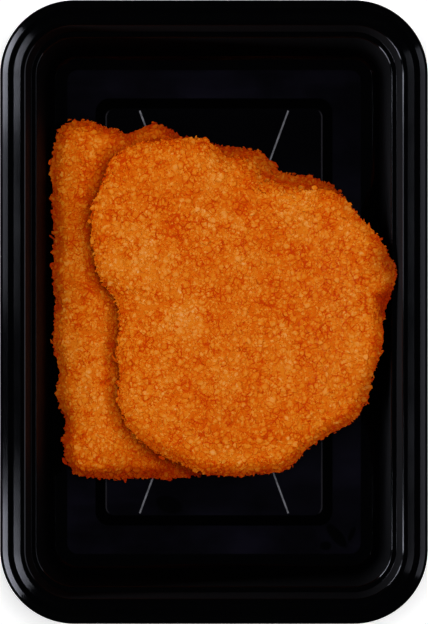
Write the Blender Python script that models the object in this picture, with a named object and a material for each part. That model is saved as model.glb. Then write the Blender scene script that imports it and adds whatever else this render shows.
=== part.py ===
"""Two breaded schnitzels, one lying partly on the other, in a rectangular black food tray.

Row frame: millimetre values below are turned into metres by MM. +Z is up, +Y runs along the
tray's length, and the origin is the centre of the face that the tray stands on.
"""
import math

import bmesh
import bpy
from mathutils import Vector

MM = 0.001
SHARP_ANGLE = math.radians(35)

# ---- tray ----
TRAY_WIDTH = 152.4
TRAY_LENGTH = 222.2
TRAY_HEIGHT = 32.0
TRAY_CORNER = 26.5          # plan radius of the rim's outer edge
WALL = 0.8
CORNER_STEPS = 8

FLOOR_INSET = 23.3          # where the floor's flat begins, measured in from the rim's edge
FLOOR_FILLET = 8.0
WALL_DRAFT = math.radians(8.5)
FILLET_STEPS = 6

LEDGE_DROP = 7.5            # the stacking ledge, below the rim
LEDGE_INNER = 12.4
LEDGE_OUTER = 10.9
LEDGE_CHAMFER = 0.6

# The rim from the tray's mouth, over its two steps to the lip and back underneath: how far in
# from the tray's outer edge each corner is, and how far below the top.
RIM_SECTION = [
    (9.5, 1.3), (9.35, 0.62), (8.65, 0.0), (7.6, 0.0),          # mouth and crown
    (4.9, 2.05), (3.0, 2.15), (0.8, 3.8), (0.0, 3.9),           # flange and lip
    (0.0, 5.6), (0.8, 5.6), (0.8, 4.8), (1.4, 4.3),             # the lip's foot and its inside
    (3.3, 3.05), (5.2, 2.95), (7.9, 0.9), (8.4, 0.9),           # underside
]
# The underside of the ledge, from the rim to the wall: inset, and distance from the ledge's top.
LEDGE_UNDERSIDE = [(9.5, 0.2), (10.6, -0.8), (11.9, -0.8)]
WALL_UNDER_LEDGE = 0.6      # where the wall's outside starts, below its inside

PANEL_FOOT_INSET = 32.8     # the raised middle panel of the floor
PANEL_TOP_INSET = 36.6
PANEL_RISE = 2.0
PANEL_CORNER = 5.0
PANEL_TOP_CORNER = 3.2

RIB_END_X = 27.2            # the two ribs cross on the panel, corner to corner
RIB_WIDTH = 0.8
RIB_TOP_WIDTH = 0.4
RIB_HEIGHT = 0.4
RIB_SUNK = 0.3
RIB_END_GAP = 0.8

FLOOR_TOP = WALL
PANEL_TOP = FLOOR_TOP + PANEL_RISE

# ---- schnitzels ----
GAP = 0.3                   # clearance kept between touching pieces
LOWER_BOTTOM = PANEL_TOP + RIB_HEIGHT + GAP
LOWER_THICK = 9.0
UPPER_THICK = 9.5
EDGE_SHARE = 0.58           # thickness at the edge, as a share of the middle's
EDGE_TAPER = 15.0           # how far in from the edge the thinning reaches
EDGE_ROUND = 5.4            # how far in the rounding of the edge itself reaches
LEFT_CURL_START, LEFT_CURL_REACH, LEFT_CURL = -46.0, 14.0, 2.2
RIGHT_CURL_START, RIGHT_CURL_REACH, RIGHT_CURL = 28.0, 30.0, 8.7
TIP_START, TIP_REACH, TIP_THINNING = 53.0, 12.0, 4.5     # the upper one's right-hand tip
LOWER_HUMP, LOWER_HUMP_X, LOWER_HUMP_Y = 0.5, 17.0, 21.0  # shallow waves in the thickness
UPPER_HUMP, UPPER_HUMP_X, UPPER_HUMP_Y = 0.6, 19.0, 23.0
LOWER_MIDDLE = (-2, 4)
UPPER_MIDDLE = (9, 2)
OUTLINE_STEPS = 2           # curve pieces between two outline points
INNER_RINGS = 5
EDGE_RINGS = 3

# Outlines, clockwise from the left-hand top corner, in millimetres from the tray's centre.
LOWER_OUTLINE = [
    (-57.5, 65), (-53, 69.5), (-46.5, 70), (-39, 68), (-32, 65.5), (-27, 67.5), (-22, 69.5),
    (-16.5, 67.5), (-11.5, 64), (4, 61), (14, 59.5), (20, 56.5), (23.5, 52), (32, 49.5),
    (43, 47), (51, 36), (56, 16), (56, -10), (51, -30), (40, -46), (22, -55), (4, -58),
    (-12, -61), (-31, -61), (-48.5, -60.5), (-53.5, -56), (-55.5, -47), (-54.5, -41),
    (-57.5, -31), (-57, -21), (-59.5, -11), (-58.5, 3), (-59.5, 15), (-58, 23), (-59.5, 38),
    (-59.5, 54),
]
UPPER_OUTLINE = [
    (-44.5, 32), (-42.5, 42), (-37, 56), (-31, 60), (-24, 62), (-12, 63), (-4, 63), (0.5, 60),
    (3.5, 56.5), (11, 55.5), (15, 52.5), (17.5, 48), (24, 46.5), (33, 44.5), (41.5, 44.5),
    (47, 41.5), (57, 29.5), (62, 22.5), (65, 16), (65, 11), (62.5, 3), (61, -4.5), (61.5, -10),
    (57.5, -24), (55.5, -31), (50.5, -39.5), (36, -48.5), (27, -57), (17, -59), (0, -59.5),
    (-8, -57), (-23, -49.5), (-32, -41), (-34.5, -31), (-34, -22), (-35.5, -15.5), (-34.5, -6),
    (-35, 2.5), (-38, 8.5), (-42.5, 15),
]


def clear_scene():
    for obj in list(bpy.data.objects):
        bpy.data.objects.remove(obj, do_unlink=True)


def material(name, colour, roughness):
    made = bpy.data.materials.new(name)
    made.use_nodes = True
    shader = made.node_tree.nodes["Principled BSDF"]
    shader.inputs["Base Color"].default_value = (*colour, 1.0)
    shader.inputs["Roughness"].default_value = roughness
    shader.inputs["Metallic"].default_value = 0.0
    return made


def add_object(name, bm, finish):
    """One named object from a bmesh in millimetres, shaded smooth except at sharp edges."""
    bm.normal_update()
    mesh = bpy.data.meshes.new(name)
    bmesh.ops.scale(bm, vec=(MM, MM, MM), verts=bm.verts)
    bm.to_mesh(mesh)
    bm.free()
    mesh.materials.append(finish)
    mesh.shade_smooth()
    mesh.set_sharp_from_angle(angle=SHARP_ANGLE)
    obj = bpy.data.objects.new(name, mesh)
    bpy.context.scene.collection.objects.link(obj)
    return obj


# ---------------------------------------------------------------- tray

def rounded_rectangle(inset, radius):
    """Plan points of the tray's outline moved in by inset, counterclockwise."""
    half_x = TRAY_WIDTH / 2 - inset - radius
    half_y = TRAY_LENGTH / 2 - inset - radius
    points = []
    for quarter, (sign_x, sign_y) in enumerate([(1, 1), (-1, 1), (-1, -1), (1, -1)]):
        for step in range(CORNER_STEPS + 1):
            angle = math.radians(90 * (quarter + step / CORNER_STEPS))
            points.append((sign_x * half_x + radius * math.cos(angle),
                           sign_y * half_y + radius * math.sin(angle)))
    return points


def floor_fillet(radius, centre_z):
    """(inset, z) points from the floor up round the bottom corner to where the wall starts."""
    turn = math.pi / 2 - WALL_DRAFT
    points = []
    for step in range(FILLET_STEPS + 1):
        angle = turn * step / FILLET_STEPS
        points.append((FLOOR_INSET - radius * math.sin(angle), centre_z - radius * math.cos(angle)))
    return points


def wall_inset(foot, z):
    """The wall's inset at height z, above the fillet's last point."""
    return foot[0] - (z - foot[1]) * math.tan(WALL_DRAFT)


def tray_section():
    """(inset, z, plan radius) from the panel's top, up the inside, over the rim and back below."""
    rim = TRAY_HEIGHT
    ledge = rim - LEDGE_DROP
    centre_z = FLOOR_TOP + FLOOR_FILLET
    inside = floor_fillet(FLOOR_FILLET, centre_z)
    outside = floor_fillet(FLOOR_FILLET + WALL, centre_z)
    section = [(PANEL_TOP_INSET, PANEL_TOP, PANEL_TOP_CORNER),
               (PANEL_FOOT_INSET, FLOOR_TOP, PANEL_CORNER)]
    inner_top = ledge - LEDGE_CHAMFER
    outer_top = inner_top - WALL_UNDER_LEDGE
    path = inside + [(wall_inset(inside[-1], inner_top), inner_top)]
    path += [(LEDGE_INNER, ledge), (LEDGE_OUTER, ledge)]
    path += [(inset, rim - drop) for inset, drop in RIM_SECTION]
    path += [(inset, ledge + rise) for inset, rise in LEDGE_UNDERSIDE]
    path += [(wall_inset(outside[-1], outer_top), outer_top)] + outside[::-1]
    section += [(inset, z, TRAY_CORNER - inset) for inset, z in path]
    section += [(PANEL_FOOT_INSET + WALL / 2, 0.0, PANEL_CORNER),
                (PANEL_TOP_INSET + WALL / 2, PANEL_TOP - WALL, PANEL_TOP_CORNER)]
    return section


def make_rib(name, sign):
    """A thin bar with sloping sides, sunk a little into the panel, from corner to corner."""
    end_y = TRAY_LENGTH / 2 - PANEL_TOP_INSET - RIB_END_GAP
    along = Vector((sign * RIB_END_X, end_y, 0)).normalized()
    across = Vector((along.y, -along.x, 0))
    end = Vector((sign * RIB_END_X, end_y, 0))
    profile = [(-RIB_WIDTH / 2, PANEL_TOP - RIB_SUNK), (RIB_WIDTH / 2, PANEL_TOP - RIB_SUNK),
               (RIB_TOP_WIDTH / 2, PANEL_TOP + RIB_HEIGHT),
               (-RIB_TOP_WIDTH / 2, PANEL_TOP + RIB_HEIGHT)]
    bm = bmesh.new()
    rings = []
    for place in (-end, end):
        rings.append([bm.verts.new(place + across * x + Vector((0, 0, z))) for x, z in profile])
    for k in range(len(profile)):
        n = (k + 1) % len(profile)
        bm.faces.new([rings[0][k], rings[0][n], rings[1][n], rings[1][k]])
    bm.faces.new(rings[0])
    bm.faces.new(rings[1])
    bmesh.ops.recalc_face_normals(bm, faces=bm.faces)
    rib = add_object(name, bm, bpy.data.materials["tray_black"])
    rib.hide_render = True
    rib.display_type = "WIRE"
    return rib


def make_tray():
    bm = bmesh.new()
    rings = []
    for inset, z, radius in tray_section():
        rings.append([bm.verts.new((x, y, z)) for x, y in rounded_rectangle(inset, radius)])
    for inner, outer in zip(rings, rings[1:]):
        for k in range(len(inner)):
            n = (k + 1) % len(inner)
            bm.faces.new([inner[k], inner[n], outer[n], outer[k]])
    bm.faces.new(rings[0])
    bm.faces.new(rings[-1])
    bmesh.ops.recalc_face_normals(bm, faces=bm.faces)
    tray = add_object("tray", bm, material("tray_black", (0.008, 0.008, 0.010), 0.18))
    for name, sign in (("rib_rising", 1), ("rib_falling", -1)):
        join = tray.modifiers.new(name, "BOOLEAN")
        join.operation = "UNION"
        join.object = make_rib(name, sign)
    return tray


# ---------------------------------------------------------------- schnitzels

def smooth_step(value):
    value = min(1.0, max(0.0, value))
    return value * value * (3 - 2 * value)


def closed_curve(points, steps):
    """A Catmull-Rom curve through the points, back to the first."""
    count = len(points)
    curve = []
    for k in range(count):
        a, b, c, d = (Vector(points[(k + j - 1) % count]) for j in range(4))
        for step in range(steps):
            t = step / steps
            curve.append(0.5 * (2 * b + (c - a) * t + (2 * a - 5 * b + 4 * c - d) * t ** 2
                                + (3 * b - a - 3 * c + d) * t ** 3))
    return curve


def lower_bottom(x, y):
    """Underside of the lower schnitzel: flat on the ribs, turned up at both long walls."""
    left = max(0.0, (LEFT_CURL_START - x) / LEFT_CURL_REACH)
    right = max(0.0, (x - RIGHT_CURL_START) / RIGHT_CURL_REACH)
    return LOWER_BOTTOM + LEFT_CURL * left ** 2 + RIGHT_CURL * right ** 2


def lower_thick(x, y):
    """Thickness of the meat before it thins towards the edge, with shallow humps."""
    hump = math.sin(x / LOWER_HUMP_X + 0.6) * math.cos(y / LOWER_HUMP_Y - 0.4)
    return LOWER_THICK + LOWER_HUMP * hump


def upper_bottom(x, y):
    return lower_bottom(x, y) + lower_thick(x, y) + GAP


def upper_thick(x, y):
    """The same for the upper one, which runs out thin at its right-hand tip."""
    hump = math.sin(x / UPPER_HUMP_X - 1.1) * math.sin(y / UPPER_HUMP_Y + 0.9)
    return UPPER_THICK + UPPER_HUMP * hump - TIP_THINNING * smooth_step((x - TIP_START) / TIP_REACH)


def make_schnitzel(name, outline, bottom, thick, centre, finish):
    """A flat slab with a rounded, thinner edge, built in rings from the outline to its middle."""
    curve = closed_curve(outline, OUTLINE_STEPS)
    middle = Vector(centre)
    bm = bmesh.new()

    def height(place, depth, side):
        x, y = place
        share = EDGE_SHARE + (1 - EDGE_SHARE) * smooth_step(depth / EDGE_TAPER)
        full = thick(x, y) * share
        round_off = min(1.0, depth / EDGE_ROUND)
        bulge = math.sqrt(1 - (1 - round_off) ** 2)
        return bottom(x, y) + full / 2 * (1 + side * bulge)

    def ring(depth_of, side):
        made = []
        for point in curve:
            inward = middle - point
            depth = depth_of(inward.length)
            place = point + inward.normalized() * depth
            made.append(bm.verts.new((*place, height(place, depth, side))))
        return made

    rounds = [EDGE_ROUND * (1 - math.cos(math.pi / 2 * k / EDGE_RINGS)) for k in range(EDGE_RINGS + 1)]
    shares = [k / (INNER_RINGS + 1) for k in range(1, INNER_RINGS + 1)]

    def half(side):
        rings = [ring(lambda length, r=r: r, side) for r in rounds[1:]]
        for share in shares:
            rings.append(ring(lambda length, s=share: EDGE_ROUND + (length - EDGE_ROUND) * s, side))
        return rings

    rim = ring(lambda length: 0.0, 1)
    for side in (1, -1):
        rings = [rim] + half(side)
        for outer, inner in zip(rings, rings[1:]):
            for k in range(len(outer)):
                n = (k + 1) % len(outer)
                bm.faces.new([outer[k], outer[n], inner[n], inner[k]])
        tip = bm.verts.new((*middle, height(middle, EDGE_TAPER, side)))
        for k in range(len(curve)):
            bm.faces.new([rings[-1][k], rings[-1][(k + 1) % len(curve)], tip])
    bmesh.ops.recalc_face_normals(bm, faces=bm.faces)
    bmesh.ops.triangulate(bm, faces=bm.faces)
    return add_object(name, bm, finish)


def main():
    clear_scene()
    make_tray()
    crumb = material("crumb_coating", (0.60, 0.20, 0.03), 0.75)
    make_schnitzel("schnitzel_lower", LOWER_OUTLINE, lower_bottom, lower_thick, LOWER_MIDDLE, crumb)
    make_schnitzel("schnitzel_upper", UPPER_OUTLINE, upper_bottom, upper_thick, UPPER_MIDDLE, crumb)


main()
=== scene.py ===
"""Two breaded schnitzels in a black food tray: crumbs, glossy plastic, studio light and camera.

Everything is in metres in the row frame: +Z up, +Y along the tray, origin under its middle.
Lengths written in millimetres are multiplied by MM.
"""
import math

import bmesh
import bpy
import numpy as np
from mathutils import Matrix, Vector, noise
from mathutils.bvhtree import BVHTree
from mathutils.kdtree import KDTree


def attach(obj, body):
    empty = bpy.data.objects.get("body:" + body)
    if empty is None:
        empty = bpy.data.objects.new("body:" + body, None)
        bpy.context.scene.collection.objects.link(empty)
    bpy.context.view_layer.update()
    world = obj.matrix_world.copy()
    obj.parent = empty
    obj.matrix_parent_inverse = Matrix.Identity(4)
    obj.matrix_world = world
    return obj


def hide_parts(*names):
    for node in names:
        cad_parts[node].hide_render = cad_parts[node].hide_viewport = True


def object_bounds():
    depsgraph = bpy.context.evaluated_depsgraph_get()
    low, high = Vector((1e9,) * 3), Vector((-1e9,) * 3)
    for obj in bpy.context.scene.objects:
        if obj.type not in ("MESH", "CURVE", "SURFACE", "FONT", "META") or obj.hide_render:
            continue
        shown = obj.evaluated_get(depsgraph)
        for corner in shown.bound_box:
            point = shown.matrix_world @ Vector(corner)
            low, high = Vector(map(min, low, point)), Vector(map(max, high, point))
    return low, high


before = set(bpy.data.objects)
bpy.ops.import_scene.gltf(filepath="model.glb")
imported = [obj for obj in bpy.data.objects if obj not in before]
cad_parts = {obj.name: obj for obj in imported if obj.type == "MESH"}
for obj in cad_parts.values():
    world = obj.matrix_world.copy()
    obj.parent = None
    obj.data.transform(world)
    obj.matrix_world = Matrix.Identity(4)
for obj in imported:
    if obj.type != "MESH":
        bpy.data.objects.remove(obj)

MM = 0.001
CAD_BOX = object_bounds()

# ---- tray, as in the CAD ----
TRAY_HALF_X = CAD_BOX[1].x
TRAY_HALF_Y = CAD_BOX[1].y
TRAY_RIM = CAD_BOX[1].z
TRAY_CORNER = 26.5 * MM
WALL = 0.8 * MM
FLOOR_INSET = 23.3 * MM
FLOOR_FILLET = 8.0 * MM
WALL_DRAFT = math.radians(8.5)
LEDGE_DROP = 7.5 * MM
LEDGE_INNER = 12.4 * MM
LEDGE_OUTER = 10.9 * MM
LEDGE_CHAMFER = 0.6 * MM
PANEL_FOOT_INSET = 32.8 * MM
PANEL_TOP_INSET = 36.6 * MM
PANEL_RISE = 2.0 * MM
PANEL_CORNER = 5.0 * MM
PANEL_TOP_CORNER = 3.2 * MM
PANEL_TOP = WALL + PANEL_RISE
RIB_END_X = 27.2 * MM
RIB_WIDTH = 0.9 * MM
RIB_HEIGHT = 0.38 * MM
RIB_END_GAP = 0.8 * MM

CORNER_STEPS = 24
FILLET_STEPS = 12
ROUND_STEPS = 4
RIB_STEPS = 8
RIB_SPANS = 24

# ---- crust ----
CRUST_VOXEL = 0.62 * MM
CRUST_SMOOTHING = 24


def mesh_object(name, verts, faces):
    """A new object from lists, linked to the scene."""
    mesh = bpy.data.meshes.new(name)
    mesh.from_pydata(verts, [], faces)
    mesh.update()
    obj = bpy.data.objects.new(name, mesh)
    bpy.context.scene.collection.objects.link(obj)
    return obj


# ---------------------------------------------------------------- materials

class Nodes:
    """Short calls for building one material's node tree."""

    def __init__(self, name):
        self.material = bpy.data.materials.new(name)
        self.material.use_nodes = True
        self.tree = self.material.node_tree
        self.shader = self.tree.nodes["Principled BSDF"]

    def add(self, kind, **values):
        node = self.tree.nodes.new(kind)
        for key, value in values.items():
            setattr(node, key, value)
        return node

    def link(self, output, socket):
        self.tree.links.new(output, socket)
        return socket

    def place(self):
        return self.add("ShaderNodeTexCoord").outputs["Object"]

    def noise(self, scale, detail=3.0, roughness=0.55, where=None):
        node = self.add("ShaderNodeTexNoise")
        node.inputs["Scale"].default_value = scale
        node.inputs["Detail"].default_value = detail
        node.inputs["Roughness"].default_value = roughness
        self.link(where or self.place(), node.inputs["Vector"])
        return node.outputs["Fac"]

    def ramp(self, factor, stops):
        node = self.add("ShaderNodeValToRGB")
        elements = node.color_ramp.elements
        while len(elements) < len(stops):
            elements.new(0.5)
        for element, (at, colour) in zip(elements, stops):
            element.position = at
            element.color = (*colour, 1.0)
        self.link(factor, node.inputs["Fac"])
        return node.outputs["Color"]

    def range(self, value, from_low, from_high, to_low, to_high):
        node = self.add("ShaderNodeMapRange")
        for key, number in (("From Min", from_low), ("From Max", from_high),
                            ("To Min", to_low), ("To Max", to_high)):
            node.inputs[key].default_value = number
        self.link(value, node.inputs["Value"])
        return node.outputs["Result"]

    def math(self, operation, a, b):
        node = self.add("ShaderNodeMath", operation=operation)
        for value, socket in ((a, node.inputs[0]), (b, node.inputs[1])):
            if isinstance(value, (int, float)):
                socket.default_value = value
            else:
                self.link(value, socket)
        return node.outputs[0]

    def mix(self, factor, a, b, blend="MIX"):
        node = self.add("ShaderNodeMix", data_type="RGBA", blend_type=blend)
        for value, socket in ((factor, node.inputs[0]), (a, node.inputs[6]), (b, node.inputs[7])):
            if isinstance(value, (int, float)):
                socket.default_value = value
            elif isinstance(value, tuple):
                socket.default_value = (*value, 1.0)
            else:
                self.link(value, socket)
        return node.outputs[2]

    def spot(self, centre, half, turn):
        """One inside an ellipse in plan, with a soft border; sizes in millimetres, turn in degrees."""
        moved = self.add("ShaderNodeMapping", vector_type="TEXTURE")
        moved.inputs["Location"].default_value = (centre[0] * MM, centre[1] * MM, 0.0)
        moved.inputs["Rotation"].default_value = (0.0, 0.0, math.radians(turn))
        moved.inputs["Scale"].default_value = (half[0] * MM, half[1] * MM, 1.0)
        self.link(self.place(), moved.inputs["Vector"])
        length = self.add("ShaderNodeVectorMath", operation="LENGTH")
        self.link(moved.outputs["Vector"], length.inputs[0])
        return self.range(length.outputs["Value"], 1.2, 0.9, 0.0, 1.0)

    def bump(self, height, distance, strength=1.0):
        node = self.add("ShaderNodeBump")
        node.inputs["Distance"].default_value = distance
        node.inputs["Strength"].default_value = strength
        self.link(height, node.inputs["Height"])
        self.link(node.outputs["Normal"], self.shader.inputs["Normal"])


# Spots on the floor and the panel without the painted reflection haze: centre, half sizes, turn in degrees.
SPOTS_WITHOUT_PAINTED_HAZE = [
    ((45.0, -82.0), (5.2, 1.9), -50.0),
    ((50.6, -81.4), (2.6, 0.9), 65.0),
    ((41.0, -85.8), (2.0, 1.5), 0.0),
    ((-16.5, -70.5), (4.6, 2.8), -20.0),
]
STREAK_TURN = math.radians(-12)
STREAK_STRETCH = (0.3, 1.6, 1.0)     # wipe marks in the painted reflection haze run nearly across the tray


def past_panel_corner(nodes, coordinate, tray_half):
    """How far a place is past the centre of the panel's corner arcs, along one axis."""
    centre = tray_half - PANEL_TOP_INSET - PANEL_TOP_CORNER
    away = nodes.math("ABSOLUTE", coordinate, 0.0)
    return nodes.math("MAXIMUM", nodes.math("SUBTRACT", away, centre), 0.0)


def tray_plastic():
    """Glossy black polypropylene, a little uneven from moulding, with a faint bluish painted reflection haze on
    the floor and panel that shows wipe marks, and a thin painted highlight on the panel's top edge at its
    corners.
    """
    nodes = Nodes("tray_plastic")
    shader = nodes.shader
    shader.inputs["Specular IOR Level"].default_value = 0.25
    height = nodes.add("ShaderNodeSeparateXYZ")
    nodes.link(nodes.place(), height.inputs[0])
    # Painted reflection: a faint bluish haze on the low flat faces (floor and panel), broken by wipe marks,
    # fading towards the back of the panel's top and missing in a few spots.
    low = nodes.range(height.outputs["Z"], 3.4 * MM, 2.9 * MM, 0.0, 1.0)
    facing = nodes.add("ShaderNodeSeparateXYZ")
    nodes.link(nodes.add("ShaderNodeNewGeometry").outputs["Normal"], facing.inputs[0])
    flat = nodes.range(facing.outputs["Z"], 0.985, 0.999, 0.0, 1.0)
    wiped = nodes.range(nodes.noise(22.0, 5.0, 0.6), 0.38, 0.62, 0.25, 1.0)
    panel_haze_fade = nodes.math("MULTIPLY", nodes.range(height.outputs["Z"], WALL, PANEL_TOP, 0.0, 1.0),
                        nodes.range(height.outputs["Y"], 10 * MM, 60 * MM, 0.0, 0.85))
    painted_reflection_haze = nodes.math("MULTIPLY", nodes.math("MULTIPLY", low, flat), wiped)
    painted_reflection_haze = nodes.math("MULTIPLY", painted_reflection_haze, nodes.math("SUBTRACT", 1.0, panel_haze_fade))
    streaks = nodes.add("ShaderNodeMapping")
    streaks.inputs["Rotation"].default_value = (0.0, 0.0, STREAK_TURN)
    streaks.inputs["Scale"].default_value = STREAK_STRETCH
    nodes.link(nodes.place(), streaks.inputs["Vector"])
    streaky = nodes.range(nodes.noise(70.0, 3.0, 0.6, streaks.outputs["Vector"]), 0.35, 0.65, 0.65, 1.15)
    painted_reflection_haze = nodes.math("MULTIPLY", painted_reflection_haze, streaky)
    for centre, half, turn in SPOTS_WITHOUT_PAINTED_HAZE:
        painted_reflection_haze = nodes.math("MULTIPLY", painted_reflection_haze, nodes.math("SUBTRACT", 1.0, nodes.spot(centre, half, turn)))
    black = nodes.mix(painted_reflection_haze, (0.0003, 0.0003, 0.0004), (0.0030, 0.0026, 0.0054))
    # Painted highlight: a thin pale line on the panel's top edge, round its corners.
    over_x = past_panel_corner(nodes, height.outputs["X"], TRAY_HALF_X)
    over_y = past_panel_corner(nodes, height.outputs["Y"], TRAY_HALF_Y)
    squares = nodes.math("ADD", nodes.math("MULTIPLY", over_x, over_x), nodes.math("MULTIPLY", over_y, over_y))
    reach = nodes.math("SQRT", squares, 0.0)
    sideways = nodes.range(nodes.math("DIVIDE", over_x, reach), 0.55, 0.95, 0.0, 1.0)
    painted_edge_highlight = nodes.math("MULTIPLY",
                         nodes.range(reach, PANEL_TOP_CORNER - 0.5 * MM, PANEL_TOP_CORNER - 0.2 * MM, 0.0, 1.0),
                         nodes.range(reach, PANEL_TOP_CORNER + 0.05 * MM, PANEL_TOP_CORNER + 0.2 * MM, 1.0, 0.0))
    painted_edge_highlight = nodes.math("MULTIPLY", painted_edge_highlight, sideways)
    painted_edge_highlight = nodes.math("MULTIPLY", painted_edge_highlight, nodes.range(height.outputs["Z"], 2.5 * MM, 2.7 * MM, 0.0, 1.0))
    painted_edge_highlight = nodes.math("MULTIPLY", painted_edge_highlight, nodes.range(height.outputs["Z"], 3.0 * MM, 2.9 * MM, 0.0, 1.0))
    nodes.link(nodes.mix(painted_edge_highlight, black, (0.014, 0.013, 0.016)), shader.inputs["Base Color"])
    patches = nodes.noise(38.0, 4.0, 0.6)
    smooth = nodes.range(patches, 0.3, 0.7, 0.09, 0.15)
    satin = nodes.range(facing.outputs["Z"], 0.25, 0.45, 0.65, 0.0)
    nodes.link(nodes.math("ADD", smooth, satin), shader.inputs["Roughness"])
    nodes.bump(nodes.noise(260.0, 2.0, 0.5), 0.00002, 0.05)
    return nodes.material


def rib_plastic():
    """The same plastic on the ribs, with a pale painted highlight along their crests, rougher there."""
    nodes = Nodes("rib_plastic")
    shader = nodes.shader
    height = nodes.add("ShaderNodeSeparateXYZ")
    nodes.link(nodes.place(), height.inputs[0])
    crest = nodes.range(height.outputs["Z"], PANEL_TOP + 0.12 * MM, PANEL_TOP + 0.3 * MM, 0.0, 1.0)
    # Painted highlight: pale grey along each rib's crest, broken up by noise.
    painted_crest_highlight = nodes.math("MULTIPLY", crest, nodes.range(nodes.noise(420.0, 3.0, 0.6), 0.3, 0.6, 0.45, 1.0))
    nodes.link(nodes.mix(painted_crest_highlight, (0.0006, 0.0006, 0.0008), (0.15, 0.15, 0.17)), shader.inputs["Base Color"])
    nodes.link(nodes.range(painted_crest_highlight, 0.0, 1.0, 0.15, 0.45), shader.inputs["Roughness"])
    return nodes.material


CRUMB_TONES = [
    (0.0, (0.60, 0.050, 0.0002)),
    (0.25, (0.70, 0.120, 0.0008)),
    (0.5, (0.76, 0.235, 0.0095)),
    (0.75, (0.81, 0.335, 0.058)),
    (1.0, (0.86, 0.46, 0.20)),
]


TOAST_AND_SHADE_COLOUR = (0.48, 0.265, 0.14)     # what browning and painted shade leave of each colour


def crumb_coating():
    """Fried breadcrumb: each crumb has its own tone, over browner and paler patches that are partly painted
    light and shade; painted shade also deepens it in crevices between crumbs, on steep faces and at crumbs'
    feet.
    """
    nodes = Nodes("crumb_coating")
    shader = nodes.shader
    tone_and_shade = nodes.add("ShaderNodeAttribute", attribute_name="tone_and_shade").outputs["Fac"]
    patch = nodes.range(nodes.noise(70.0, 3.0, 0.6), 0.3, 0.7, -0.12, 0.12)
    grain = nodes.range(nodes.noise(320.0, 3.0, 0.6), 0.3, 0.7, -0.08, 0.08)
    fleck = nodes.range(nodes.noise(760.0, 1.0, 0.5), 0.60, 0.68, 0.0, 0.12)
    # Painted shade: darker lines on some cell borders, for the crevices between crumbs.
    cells = nodes.add("ShaderNodeTexVoronoi", feature="DISTANCE_TO_EDGE")
    nodes.link(nodes.place(), cells.inputs["Vector"])
    cells.inputs["Scale"].default_value = 430.0
    border = nodes.range(cells.outputs["Distance"], 0.03, 0.13, 1.0, 0.0)
    some = nodes.range(nodes.noise(210.0, 2.0, 0.5), 0.47, 0.60, 0.0, 0.34)
    painted_crevice_shade = nodes.math("MULTIPLY", border, some)
    level = nodes.math("ADD", nodes.math("ADD", tone_and_shade, patch), nodes.math("ADD", grain, fleck))
    level = nodes.math("SUBTRACT", level, painted_crevice_shade)
    # Painted shade: steep faces deeper in colour, as they take less light.
    facing = nodes.add("ShaderNodeSeparateXYZ")
    nodes.link(nodes.add("ShaderNodeNewGeometry").outputs["True Normal"], facing.inputs[0])
    steep = nodes.range(facing.outputs["Z"], 0.95, 0.55, 0.0, STEEP_SHADE)
    level = nodes.math("SUBTRACT", level, steep)
    # The per-point tone and browning attributes carry painted shade as well as the coating's own colour.
    toast_and_shade = nodes.add("ShaderNodeAttribute", attribute_name="toast_and_shade").outputs["Fac"]
    darker = nodes.mix(toast_and_shade, (1.0, 1.0, 1.0), TOAST_AND_SHADE_COLOUR)
    nodes.link(nodes.mix(1.0, nodes.ramp(level, CRUMB_TONES), darker, "MULTIPLY"),
               shader.inputs["Base Color"])
    shader.inputs["Roughness"].default_value = 0.55
    shader.inputs["Specular IOR Level"].default_value = 0.06
    shader.inputs["Diffuse Roughness"].default_value = 1.0
    nodes.bump(nodes.noise(1100.0, 3.0, 0.6), 0.00012, 0.15)
    return nodes.material


# ---------------------------------------------------------------- tray

def rounded_rectangle(inset, radius, steps):
    """Plan points of the tray's outline moved in by inset, counterclockwise."""
    half_x = TRAY_HALF_X - inset - radius
    half_y = TRAY_HALF_Y - inset - radius
    points = []
    for quarter, (sign_x, sign_y) in enumerate([(1, 1), (-1, 1), (-1, -1), (1, -1)]):
        for step in range(steps + 1):
            angle = math.radians(90 * (quarter + step / steps))
            points.append((sign_x * half_x + radius * math.cos(angle),
                           sign_y * half_y + radius * math.sin(angle)))
    return points


def floor_fillet(radius, centre_z):
    """(inset, z) points from the floor up round the bottom corner to where the wall starts."""
    turn = math.pi / 2 - WALL_DRAFT
    points = []
    for step in range(FILLET_STEPS + 1):
        angle = turn * step / FILLET_STEPS
        points.append((FLOOR_INSET - radius * math.sin(angle), centre_z - radius * math.cos(angle)))
    return points


def rounded(path, radius):
    """The (inset, z, plan radius) path with every inner corner replaced by a small arc."""
    out = [path[0]]
    for before, here, after in zip(path, path[1:], path[2:]):
        p0, p1, p2 = Vector(before), Vector(here), Vector(after)
        first, second = p0 - p1, p2 - p1
        cut = min(radius, 0.45 * first.length, 0.45 * second.length)
        start = p1 + first.normalized() * cut
        end = p1 + second.normalized() * cut
        for step in range(ROUND_STEPS + 1):
            t = step / ROUND_STEPS
            out.append(tuple((1 - t) ** 2 * start + 2 * t * (1 - t) * p1 + t * t * end))
    out.append(path[-1])
    return out


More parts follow.
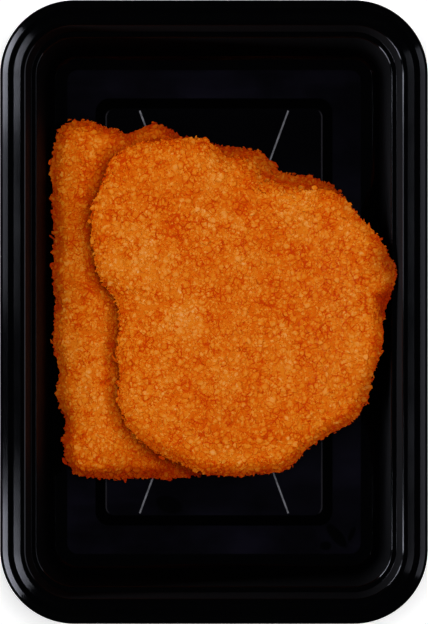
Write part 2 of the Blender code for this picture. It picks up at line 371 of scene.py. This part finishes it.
def tray_section():
    """(inset, z, plan radius) from the panel's top, up the inside, over the rim and back below."""
    rim = TRAY_RIM
    ledge = rim - LEDGE_DROP
    centre_z = WALL + FLOOR_FILLET
    inside = floor_fillet(FLOOR_FILLET, centre_z)
    outside = floor_fillet(FLOOR_FILLET + WALL, centre_z)

    def wall(foot, z):
        return foot[0] - (z - foot[1]) * math.tan(WALL_DRAFT), z

    low_edge = ledge - LEDGE_CHAMFER
    rim_path = [(9.5, -1.3), (9.35, -0.62), (8.65, 0.0), (7.6, 0.0), (4.9, -2.05), (3.0, -2.15),
                (0.85, -3.8), (0.0, -3.9), (0.0, -5.6), (0.8, -5.6), (0.8, -4.8), (1.4, -4.3),
                (3.3, -3.05), (5.2, -2.95), (7.9, -0.9), (8.4, -0.9)]
    shell = [wall(inside[-1], low_edge), (LEDGE_INNER, ledge), (LEDGE_OUTER, ledge)]
    shell += [(inset * MM, rim + drop * MM) for inset, drop in rim_path]
    shell += [(LEDGE_OUTER - 1.4 * MM, ledge + 0.2 * MM), (LEDGE_OUTER - 0.3 * MM, ledge - WALL),
              (LEDGE_INNER - 0.5 * MM, ledge - WALL), wall(outside[-1], low_edge - 0.6 * MM)]
    path = inside + shell + outside[::-1]
    panel = [(PANEL_TOP_INSET, PANEL_TOP, PANEL_TOP_CORNER), (PANEL_FOOT_INSET, WALL, PANEL_CORNER)]
    under = [(PANEL_FOOT_INSET + WALL / 2, 0.0, PANEL_CORNER),
             (PANEL_TOP_INSET + WALL / 2, PANEL_TOP - WALL, PANEL_TOP_CORNER)]
    return panel + [(inset, z, TRAY_CORNER - inset) for inset, z in path] + under


def make_tray(finish):
    middle = (PANEL_TOP_INSET + 4 * MM, PANEL_TOP, PANEL_TOP_CORNER)
    under_middle = (PANEL_TOP_INSET + 4 * MM, PANEL_TOP - WALL, PANEL_TOP_CORNER)
    section = rounded([middle] + tray_section() + [under_middle], 0.22 * MM)
    bm = bmesh.new()
    rings = []
    for inset, z, radius in section:
        plan = rounded_rectangle(inset, radius, CORNER_STEPS)
        rings.append([bm.verts.new((x, y, z)) for x, y in plan])
    for inner, outer in zip(rings, rings[1:]):
        for k in range(len(inner)):
            n = (k + 1) % len(inner)
            bm.faces.new([inner[k], inner[n], outer[n], outer[k]])
    bm.faces.new(rings[0])
    bm.faces.new(rings[-1])
    bmesh.ops.recalc_face_normals(bm, faces=bm.faces)
    mesh = bpy.data.meshes.new("tray_shell")
    bm.to_mesh(mesh)
    bm.free()
    mesh.shade_smooth()
    tray = bpy.data.objects.new("tray_shell", mesh)
    bpy.context.scene.collection.objects.link(tray)
    mesh.materials.append(finish)
    return tray


def make_rib(name, sign, finish):
    """A low half-round ridge across the panel, from corner to corner, with flat ends that stop just short of the
    panel's edge.
    """
    end_y = TRAY_HALF_Y - PANEL_TOP_INSET - RIB_END_GAP
    end = Vector((sign * RIB_END_X, end_y, 0))
    along = end.normalized()
    across = Vector((along.y, -along.x, 0))
    verts = []
    for span in range(RIB_SPANS + 1):
        place = end * (2 * span / RIB_SPANS - 1)
        for step in range(RIB_STEPS + 1):
            angle = math.pi * step / RIB_STEPS
            side = across * (RIB_WIDTH / 2 * math.cos(angle))
            lift = PANEL_TOP - 0.05 * MM + RIB_HEIGHT * math.sin(angle)
            verts.append(place + side + Vector((0, 0, lift)))
    row = RIB_STEPS + 1
    faces = []
    for span in range(RIB_SPANS):
        for step in range(RIB_STEPS):
            a = span * row + step
            faces.append((a, a + 1, a + row + 1, a + row))
        faces.append((span * row, (span + 1) * row, (span + 1) * row + RIB_STEPS,
                      span * row + RIB_STEPS))
    faces.append(tuple(range(row)))
    faces.append(tuple(RIB_SPANS * row + k for k in range(row)))
    rib = mesh_object(name, verts, faces)
    bm = bmesh.new()
    bm.from_mesh(rib.data)
    bmesh.ops.recalc_face_normals(bm, faces=bm.faces)
    bm.to_mesh(rib.data)
    bm.free()
    rib.data.shade_smooth()
    rib.data.set_sharp_from_angle(angle=math.radians(60))
    rib.data.materials.append(finish)
    return rib


# ---------------------------------------------------------------- crust

def even_mesh(node_name):
    """The CAD solid remeshed evenly and smoothed, as a new object at the same place."""
    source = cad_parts[node_name]
    crust = bpy.data.objects.new(node_name.replace("schnitzel", "crust"), source.data.copy())
    bpy.context.scene.collection.objects.link(crust)
    crust.matrix_world = source.matrix_world.copy()
    remesh = crust.modifiers.new("even", "REMESH")
    remesh.mode = "VOXEL"
    remesh.voxel_size = CRUST_VOXEL
    soften = crust.modifiers.new("soften", "SMOOTH")
    soften.factor = 0.5
    soften.iterations = CRUST_SMOOTHING
    depsgraph = bpy.context.evaluated_depsgraph_get()
    mesh = bpy.data.meshes.new_from_object(crust.evaluated_get(depsgraph))
    crust.modifiers.clear()
    crust.data = mesh
    return crust


def vectors(items, key):
    """The items' vectors of that name, as an array of rows."""
    values = np.empty(len(items) * 3, np.float32)
    items.foreach_get(key, values)
    return values.reshape(-1, 3).astype(float)


class Edge:
    """A crust's outer belt in plan: how far any place is from it, and which way it faces there."""

    def __init__(self, mesh):
        normals = vectors(mesh.vertices, "normal")
        places = vectors(mesh.vertices, "co")
        belt = np.abs(normals[:, 2]) < 0.3
        self.normals = normals[belt]
        self.tree = KDTree(int(belt.sum()))
        for k, (x, y, _) in enumerate(places[belt]):
            self.tree.insert((x, y, 0.0), k)
        self.tree.balance()

    def near(self, places):
        found = [self.tree.find((x, y, 0.0)) for x, y, _ in places]
        distance = np.array([item[2] for item in found])
        return distance, self.normals[[item[1] for item in found]]


def from_segment(places, start, end):
    """Plan distance from each place to the line between two points."""
    start, end = np.array(start) * MM, np.array(end) * MM
    along = end - start
    t = np.clip((places[:, :2] - start) @ along / max(along @ along, 1e-12), 0, 1)
    return np.linalg.norm(places[:, :2] - start - t[:, None] * along, axis=1)


# start, end, half width, depth, how much deeper in colour as painted shade; millimetres from the tray's centre
CREASES = {
    "upper": [
        ((53.0, 12.5), (59.0, 13.8), 0.7, 0.7, 0.22),
        ((58.0, 5.5), (63.0, 4.5), 1.3, 1.6, 0.30),
        ((59.5, 5.0), (62.0, -5.5), 2.6, 0.6, 0.14),
        ((18.0, 48.5), (31.0, 45.5), 1.0, 0.4, 0.12),
    ],
    "lower": [
        ((-24.5, 61.5), (-20.0, 62.5), 0.9, 1.6, 0.34),
        ((17.5, 50.5), (22.0, 47.8), 0.9, 0.6, 0.34),
        ((22.0, 47.8), (35.0, 45.8), 0.7, 0.5, 0.30),
        ((-58.0, 2.5), (-55.0, 2.0), 1.0, 1.2, 0.22),
        ((-40.5, -26.0), (-38.0, -24.5), 0.9, 1.0, 0.30),
    ],
}

# centre, radius, how much paler (or, below zero, redder) the coating is there, how toasted; partly the coating's
# own patches, partly painted light and shade, as on the dark tip of the upper crust and the near edge of the
# lower
PATCHES = {
    "upper": [
        ((-29.0, 23.0), 9.0, 0.15, 0.0),
        ((-25.0, 48.0), 7.0, 0.08, 0.0),
        ((-24.0, 16.0), 5.0, 0.05, 0.0),
        ((-10.0, 2.0), 10.0, 0.12, 0.0),
        ((1.5, 50.0), 5.5, 0.08, 0.0),
        ((18.0, 45.0), 5.0, 0.10, -0.10),
        ((31.0, 41.0), 7.0, 0.20, -0.20),
        ((35.0, 27.0), 7.5, 0.08, 0.0),
        ((11.0, -14.0), 6.0, 0.09, 0.0),
        ((-27.0, -37.5), 5.5, 0.08, 0.0),
        ((-18.0, -51.0), 4.5, 0.08, 0.0),
        ((45.0, -22.5), 3.5, 0.08, 0.0),
        ((-12.0, 33.0), 5.5, -0.07, 0.0),
        ((-8.0, 43.0), 5.5, -0.07, 0.0),
        ((7.0, 40.0), 6.5, -0.10, 0.0),
        ((-6.0, 17.5), 5.5, -0.07, 0.0),
        ((-29.0, -17.0), 7.0, -0.08, 0.0),
        ((-10.0, -24.0), 9.0, -0.06, 0.0),
        ((4.0, -38.0), 10.0, -0.10, 0.05),
        ((31.0, -6.0), 5.5, -0.08, 0.0),
        ((54.0, -28.0), 5.0, 0.0, 0.20),
        ((62.5, 18.0), 6.0, 0.0, 0.70),
        ((61.5, 3.0), 5.0, 0.0, 0.65),
        ((25.0, 45.5), 3.0, 0.0, 0.25),
    ],
    "lower": [
        ((-22.0, 67.0), 7.0, 0.0, 0.15),
        ((24.0, 55.0), 14.0, 0.08, 0.0),
        ((18.5, 53.0), 4.0, 0.0, 0.25),
        ((-52.0, 33.0), 13.0, -0.02, 0.12),
        ((-56.0, 8.0), 8.0, -0.02, 0.15),
        ((-39.0, -3.0), 6.0, -0.08, 0.06),
        ((-46.0, -12.0), 13.0, 0.13, 0.0),
        ((-46.5, -22.0), 6.0, 0.06, 0.0),
        ((-46.0, -30.0), 12.0, 0.06, 0.0),
        ((-44.0, -35.5), 9.0, 0.12, 0.0),
        ((-56.0, -36.0), 5.0, 0.0, 0.20),
        ((-34.0, -60.0), 8.0, -0.02, 0.35),
        ((-18.0, -60.0), 13.0, -0.05, 0.50),
    ],
}

# The lower crust's lower mean tone is painted shade, for lying deeper in the tray.
MEAN_TONE = {"upper": 0.60, "lower": 0.518}
EDGE_REACH = 5.5 * MM      # how far in from its edge a crust dips and darkens with painted shade
EDGE_DIP = {"upper": 1.5 * MM, "lower": 1.6 * MM}
# Painted shade on the rounded edges: how much deeper in tone and how browned.
EDGE_SHADE_TONE = 0.10
EDGE_SHADE = {"upper": 0.48, "lower": 0.68}
FRONT_SHADE = 0.9          # painted shade: how much browner the edges that face the tray's near end are
VALLEY_REACH = 6.5 * MM    # the dip in the lower crust along the upper one's edge
VALLEY_DIP = 3.2 * MM
# Painted shadow in that valley: how much deeper in tone and how browned.
VALLEY_SHADOW_TONE = 0.12
VALLEY_SHADOW = 0.62


def ease(distance, reach):
    """One at no distance, falling smoothly to zero at reach."""
    t = np.clip(1 - distance / reach, 0, 1)
    return t * t * (3 - 2 * t)


def edge_share(label, facing):
    """How strongly the edge is dipped and darkened with painted shade: on the upper crust, least at its left and
    back.
    """
    if label == "lower":
        return np.ones(len(facing))
    left, back = np.clip(-facing[:, 0], 0, 1), np.clip(facing[:, 1], 0, 1)
    return np.clip(1 - 0.85 * left - 0.5 * back, 0.1, 1)


def valley_share(places, other_edge):
    """How deep in the valley along the other crust's edge: least at its back right, where it lies flat."""
    distance, facing = other_edge.near(places)
    flat = np.clip((facing[:, 0] + facing[:, 1]) / math.sqrt(2), 0, 1)
    return (1 - 0.75 * flat) * ease(distance, VALLEY_REACH)


def coat_looks(places, label, edge, other_edge):
    """The coating's mean tone and toasting at each place, with painted shade at the edges, in the valley and
    along the creases; the spots are partly painted light and shade.
    """
    distance, facing = edge.near(places)
    # Painted shade at the rounded edges, more on those facing the near end.
    rim = edge_share(label, facing) * ease(distance, EDGE_REACH)
    tone_and_shade = MEAN_TONE[label] - EDGE_SHADE_TONE * rim
    toast_and_shade = EDGE_SHADE[label] * rim * (1 + FRONT_SHADE * np.clip(-facing[:, 1], 0, 1))
    # Painted shadow in the valley along the other crust's edge.
    if other_edge:
        valley = valley_share(places, other_edge)
        tone_and_shade -= VALLEY_SHADOW_TONE * valley
        toast_and_shade += VALLEY_SHADOW * valley
    # Spots, partly the coating's own patches and partly painted light and shade.
    for centre, radius, paler, darkening in PATCHES[label]:
        spot = np.exp(-(from_segment(places, centre, centre) / (radius * MM)) ** 2)
        tone_and_shade += paler * spot
        toast_and_shade += darkening * spot
    # Painted shade along the creases.
    for start, end, width, _, crease_shade in CREASES[label]:
        tone_and_shade -= crease_shade * np.exp(-(from_segment(places, start, end) / (width * MM)) ** 2)
    return tone_and_shade, np.clip(toast_and_shade, 0, 0.95)


def paint(mesh, tone_and_shade, toast_and_shade):
    """Keeps both on the mesh's points, for the coating's colour."""
    for key, values in (("tone_and_shade", tone_and_shade), ("toast_and_shade", toast_and_shade)):
        mesh.attributes.new(key, "FLOAT", "POINT").data.foreach_set("value", values.astype(np.float32))


def shape_crust(mesh, label, edge, other_edge):
    """Dips the top towards its edge and along its creases, and adds lumps of several sizes."""
    places = vectors(mesh.vertices, "co")
    normals = vectors(mesh.vertices, "normal")
    up = np.clip(normals[:, 2], 0, 1)
    distance, facing = edge.near(places)
    drop = EDGE_DIP[label] * edge_share(label, facing) * ease(distance, EDGE_REACH)
    for start, end, width, depth, _ in CREASES[label]:
        drop += depth * MM * np.exp(-(from_segment(places, start, end) / (width * MM)) ** 2)
    if other_edge:
        drop += VALLEY_DIP * valley_share(places, other_edge)
    seed = Vector((3.7, 1.3, 2.1)) * (1 if label == "lower" else 2)
    shift = np.full(len(places), -BASE_SUNK)
    for size, depth in LUMPS:
        shift += depth * np.array([noise.noise(Vector(place) / size + seed) for place in places])
    side = 1 - np.abs(normals[:, 2])
    for size, depth in SIDE_LUMPS:
        shift += side * depth * np.array([noise.noise(Vector(place) / size - seed) for place in places])
    places += normals * shift[:, None]
    places[:, 2] -= up * drop
    mesh.vertices.foreach_set("co", places.astype(np.float32).ravel())
    mesh.update()


def finish_crust(crust, label, edge, other_edge, finish):
    mesh = crust.data
    shape_crust(mesh, label, edge, other_edge)
    mesh.materials.clear()
    mesh.materials.append(finish)
    mesh.shade_smooth()
    tone_and_shade, toast_and_shade = coat_looks(vectors(mesh.vertices, "co"), label, edge, other_edge)
    paint(mesh, tone_and_shade - CRUST_BELOW_SHADE, toast_and_shade)


CRUST_BELOW_SHADE = 0.24         # painted shade: the crust shows only between crumbs, deeper in colour than they are
BASE_SUNK = 0.30 * MM
LUMPS = [(22.0 * MM, 0.45 * MM), (7.0 * MM, 0.35 * MM), (2.6 * MM, 0.30 * MM), (1.2 * MM, 0.12 * MM)]
SIDE_LUMPS = [(6.0 * MM, 0.5 * MM), (2.2 * MM, 0.5 * MM)]


# ---------------------------------------------------------------- crumbs

def crumb_shapes(rng, count, corners, flatness):
    """Angular flakes about one unit across, widest at the foot: hulls of two uneven rings."""
    shapes = []
    for _ in range(count):
        flat = rng.uniform(*flatness)
        stretch = rng.uniform(0.50, 0.95)
        points = []
        for ring, (reach, level) in enumerate([((0.33, 0.62), (-0.5, 0.1)), ((0.12, 0.40), (0.45, 1.0))]):
            turn = rng.uniform(0, 2 * math.pi)
            for k in range(corners - ring):
                angle = turn + 2 * math.pi * (k + rng.uniform(-0.3, 0.3)) / (corners - ring)
                radius = rng.uniform(*reach)
                points.append((radius * math.cos(angle), stretch * radius * math.sin(angle),
                               flat * rng.uniform(*level)))
        bm = bmesh.new()
        for point in points:
            bm.verts.new(point)
        made = bmesh.ops.convex_hull(bm, input=bm.verts)
        spare = [e for e in made["geom_interior"] if isinstance(e, bmesh.types.BMVert)]
        bmesh.ops.delete(bm, geom=spare, context="VERTS")
        bmesh.ops.triangulate(bm, faces=bm.faces)
        bmesh.ops.recalc_face_normals(bm, faces=bm.faces)
        bm.verts.index_update()
        shapes.append((np.array([v.co for v in bm.verts]),
                       np.array([[v.index for v in f.verts] for f in bm.faces])))
        bm.free()
    return shapes


def surface_samples(mesh, rng, per_area, keep):
    """Random places on a mesh, evenly by area, as arrays of point and normal."""
    mesh.calc_loop_triangles()
    count = len(mesh.loop_triangles)
    corners = np.empty(count * 3, np.int32)
    mesh.loop_triangles.foreach_get("vertices", corners)
    corners = corners.reshape(-1, 3)
    co = np.empty(len(mesh.vertices) * 3, np.float32)
    mesh.vertices.foreach_get("co", co)
    co = co.reshape(-1, 3)
    a, b, c = co[corners[:, 0]], co[corners[:, 1]], co[corners[:, 2]]
    cross = np.cross(b - a, c - a)
    area = np.linalg.norm(cross, axis=1) / 2
    normal = cross / np.maximum(2 * area, 1e-12)[:, None]
    weight = area * keep((a + b + c) / 3, normal)
    amount = int(weight.sum() * per_area)
    chosen = rng.choice(count, size=amount, p=weight / weight.sum())
    u = np.sqrt(rng.random(amount))[:, None]
    v = rng.random(amount)[:, None]
    point = (1 - u) * a[chosen] + u * (1 - v) * b[chosen] + u * v * c[chosen]
    return point, normal[chosen]


def turned_frames(normal, rng, tilt):
    """A rotation for each normal: local Z near it, tilted at random, and any spin about it."""
    amount = len(normal)
    up = normal + rng.normal(size=(amount, 3)) * tilt[:, None]
    up /= np.linalg.norm(up, axis=1)[:, None]
    side = np.cross(up, rng.normal(size=(amount, 3)))
    side /= np.linalg.norm(side, axis=1)[:, None]
    front = np.cross(up, side)
    return np.stack([side, front, up], axis=2)


def joined_crumbs(name, shapes, place, frames, size, tone_and_shade, toast_and_shade, finish):
    """One mesh of many crumbs: each a shape from the list, turned, scaled and put in place."""
    pick = np.arange(len(place)) % len(shapes)
    verts, faces, tones_and_shades, toasts_and_shades = [], [], [], []
    offset = 0
    for k, (shape, triangles) in enumerate(shapes):
        mine = pick == k
        turned = np.einsum("nij,vj->nvi", frames[mine], shape) * size[mine][:, None, None]
        verts.append((turned + place[mine][:, None, :]).reshape(-1, 3))
        starts = offset + np.arange(mine.sum()) * len(shape)
        faces.append((triangles[None] + starts[:, None, None]).reshape(-1, 3))
        # Painted shade: the colour deepens towards each crumb's foot.
        lift = FOOT_SHADE * np.clip(1 - shape[:, 2] / shape[:, 2].max(), 0, 1)
        tones_and_shades.append((tone_and_shade[mine][:, None] - lift).ravel())
        toasts_and_shades.append(np.repeat(toast_and_shade[mine], len(shape)))
        offset += mine.sum() * len(shape)
    verts, faces = np.concatenate(verts), np.concatenate(faces)
    mesh = bpy.data.meshes.new(name)
    mesh.vertices.add(len(verts))
    mesh.vertices.foreach_set("co", verts.astype(np.float32).ravel())
    mesh.loops.add(faces.size)
    mesh.loops.foreach_set("vertex_index", faces.astype(np.int32).ravel())
    mesh.polygons.add(len(faces))
    mesh.polygons.foreach_set("loop_start", np.arange(0, faces.size, 3, dtype=np.int32))
    mesh.update(calc_edges=True)
    mesh.shade_flat()
    paint(mesh, np.concatenate(tones_and_shades), np.concatenate(toasts_and_shades))
    mesh.materials.append(finish)
    obj = bpy.data.objects.new(name, mesh)
    bpy.context.scene.collection.objects.link(obj)
    return obj


# Painted shade: how much deeper a crumb's colour is at its foot (first) and on steep faces (second).
FOOT_SHADE = 0.34
STEEP_SHADE = 0.18           # painted shade on steep faces

# name, sizes, crumbs for each square metre, corners, flatness, tilt
CRUMB_KINDS = [
    ("coarse", (1.8 * MM, 3.6 * MM), 0.24e6, 6, (0.09, 0.15), 0.18),
    ("medium", (1.1 * MM, 2.1 * MM), 0.70e6, 5, (0.10, 0.17), 0.26),
    ("fine", (0.6 * MM, 1.0 * MM), 0.70e6, 5, (0.14, 0.24), 0.40),
    ("edge", (0.7 * MM, 1.9 * MM), 0.50e6, 6, (0.35, 0.70), 0.35),
]


def open_to_sky(points, normals, cover):
    """True where at least one of a few steep rays from the point passes the cover."""
    rays = [Vector((math.sin(t) * math.cos(a), math.sin(t) * math.sin(a), math.cos(t)))
            for t, a in [(0.05, 0)] + [(1.0, k * math.pi / 3) for k in range(6)]]
    seen = np.zeros(len(points), bool)
    for k, (point, normal) in enumerate(zip(points, normals)):
        start = Vector(point) + Vector(normal) * 0.4 * MM
        seen[k] = any(cover.ray_cast(start, ray, 40 * MM)[0] is None for ray in rays)
    return seen


def cover_tree(obj):
    mesh = obj.data
    return BVHTree.FromPolygons([v.co for v in mesh.vertices], [p.vertices[:] for p in mesh.polygons])


def scatter_crumbs(crust, label, finish, edge, other_edge, cover):
    """All the kinds of crumb on one crust, on its top and sides."""
    def top_and_sides(centre, normal):
        return np.clip((normal[:, 2] + 0.45) / 0.3, 0.0, 1.0)

    def sides(centre, normal):
        return top_and_sides(centre, normal) * np.clip((0.75 - normal[:, 2]) / 0.3, 0.0, 1.0)

    made = []
    for k, (kind, sizes, density, corners, flatness, tilt) in enumerate(CRUMB_KINDS):
        rng = np.random.default_rng([len(label), ord(label[0]), k])
        shapes = crumb_shapes(rng, 32, corners, flatness)
        keep = sides if kind == "edge" else top_and_sides
        place, normal = surface_samples(crust.data, rng, density, keep)
        if cover:
            seen = open_to_sky(place, normal, cover)
            place, normal = place[seen], normal[seen]
        amount = len(place)
        steep = 1 - np.clip(normal[:, 2], 0, 1)
        size = rng.uniform(*sizes, size=amount)
        frames = turned_frames(normal, rng, tilt * (1 + 1.5 * steep))
        lift = rng.uniform(-0.04, 0.10, size=amount) + steep * 0.4 * rng.uniform(0.0, 1.0, size=amount) ** 2
        tone_and_shade, toast_and_shade = coat_looks(place, label, edge, other_edge)
        tone_and_shade += rng.normal(0.0, 0.072, size=amount)
        place = place + normal * (size * lift)[:, None]
        made.append(joined_crumbs(f"crumbs_{kind}_{label}", shapes, place, frames, size, tone_and_shade, toast_and_shade, finish))
    return made


# ---------------------------------------------------------------- stage

def make_floor():
    nodes = Nodes("studio_floor")
    nodes.shader.inputs["Base Color"].default_value = (0.93, 0.93, 0.93, 1.0)
    nodes.shader.inputs["Roughness"].default_value = 0.9
    nodes.shader.inputs["Emission Color"].default_value = (1.0, 1.0, 1.0, 1.0)
    nodes.shader.inputs["Emission Strength"].default_value = 0.35
    half = 1.5
    floor = mesh_object("studio_floor", [(-half, -half, -0.0004), (half, -half, -0.0004),
                                         (half, half, -0.0004), (-half, half, -0.0004)], [(0, 1, 2, 3)])
    floor.data.materials.append(nodes.material)


def softbox(name, place, size, radiance, mirrored, aim=(0.0, 0.0, 0.02)):
    """A rectangular area light aimed at the food. Gloss shows it only where mirrored is true."""
    data = bpy.data.lights.new(name, "AREA")
    data.shape = "RECTANGLE"
    data.size, data.size_y = size
    data.energy = radiance * math.pi * size[0] * size[1]
    light = bpy.data.objects.new(name, data)
    light.location = place
    light.rotation_euler = (Vector(aim) - Vector(place)).to_track_quat("-Z", "Y").to_euler()
    light.visible_glossy = mirrored
    light.visible_diffuse = not mirrored
    if mirrored:
        data.color = (0.82, 0.85, 1.0)
    bpy.context.scene.collection.objects.link(light)


def make_lights():
    """Two large softboxes at the long sides, and low strips that draw the rim's bright lines."""
    softbox("overhead", (0.10, 0.15, 1.50), (0.8, 0.8), 6.85, False)
    softbox("left_main", (-0.70, -0.05, 0.70), (1.0, 0.5), 2.12, False)
    softbox("right_main", (0.70, 0.25, 0.70), (1.0, 0.5), 1.49, False)
    for side, name in ((1, "back"), (-1, "front")):
        softbox(f"left_strip_{name}", (-0.80, side * 0.45, 0.145), (0.64, 0.12), 18.0, True,
                (0.0, side * 0.45, 0.03))
    softbox("left_strip_middle", (-0.80, 0.07, 0.145), (0.12, 0.12), 3.0, True, (0.0, 0.07, 0.03))
    softbox("right_strip", (0.80, 0.0, 0.145), (0.9, 0.12), 2.0, True, (0.0, 0.0, 0.03))
    world = bpy.data.worlds.new("studio")
    bpy.context.scene.world = world
    world.use_nodes = True
    background = world.node_tree.nodes["Background"]
    background.inputs["Color"].default_value = (0.75, 0.82, 1.0, 1.0)
    background.inputs["Strength"].default_value = 0.02


def make_camera():
    """Straight above, far enough for the rim's near and far sides to show alike."""
    data = bpy.data.cameras.new("overhead")
    data.sensor_width = 36.0
    data.lens = 146.4
    camera = bpy.data.objects.new("overhead", data)
    camera.location = (0.0, 0.0, 0.932)
    bpy.context.scene.collection.objects.link(camera)
    bpy.context.scene.camera = camera


def main():
    plastic = tray_plastic()
    coating = crumb_coating()

    tray = make_tray(plastic)
    ribs_with_painted_highlight = rib_plastic()
    pieces = [tray, make_rib("rib_rising", 1, ribs_with_painted_highlight), make_rib("rib_falling", -1, ribs_with_painted_highlight)]
    for piece in pieces:
        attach(piece, "root")
    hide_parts("tray")

    upper = even_mesh("schnitzel_upper")
    lower = even_mesh("schnitzel_lower")
    upper_edge, lower_edge = Edge(upper.data), Edge(lower.data)
    finish_crust(upper, "upper", upper_edge, None, coating)
    finish_crust(lower, "lower", lower_edge, upper_edge, coating)
    crumbs = scatter_crumbs(upper, "upper", coating, upper_edge, None, None)
    crumbs += scatter_crumbs(lower, "lower", coating, lower_edge, upper_edge, cover_tree(upper))
    for piece in [upper, lower] + crumbs:
        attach(piece, "root")
    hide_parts("schnitzel_upper")
    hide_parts("schnitzel_lower")

    make_floor()
    make_lights()
    make_camera()
    bpy.context.scene.view_settings.view_transform = "Standard"
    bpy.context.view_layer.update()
    total = sum(len(o.data.polygons) for o in crumbs + [upper, lower])
    print("faces", {o.name: len(o.data.polygons) for o in crumbs + [upper, lower]}, total)


main()
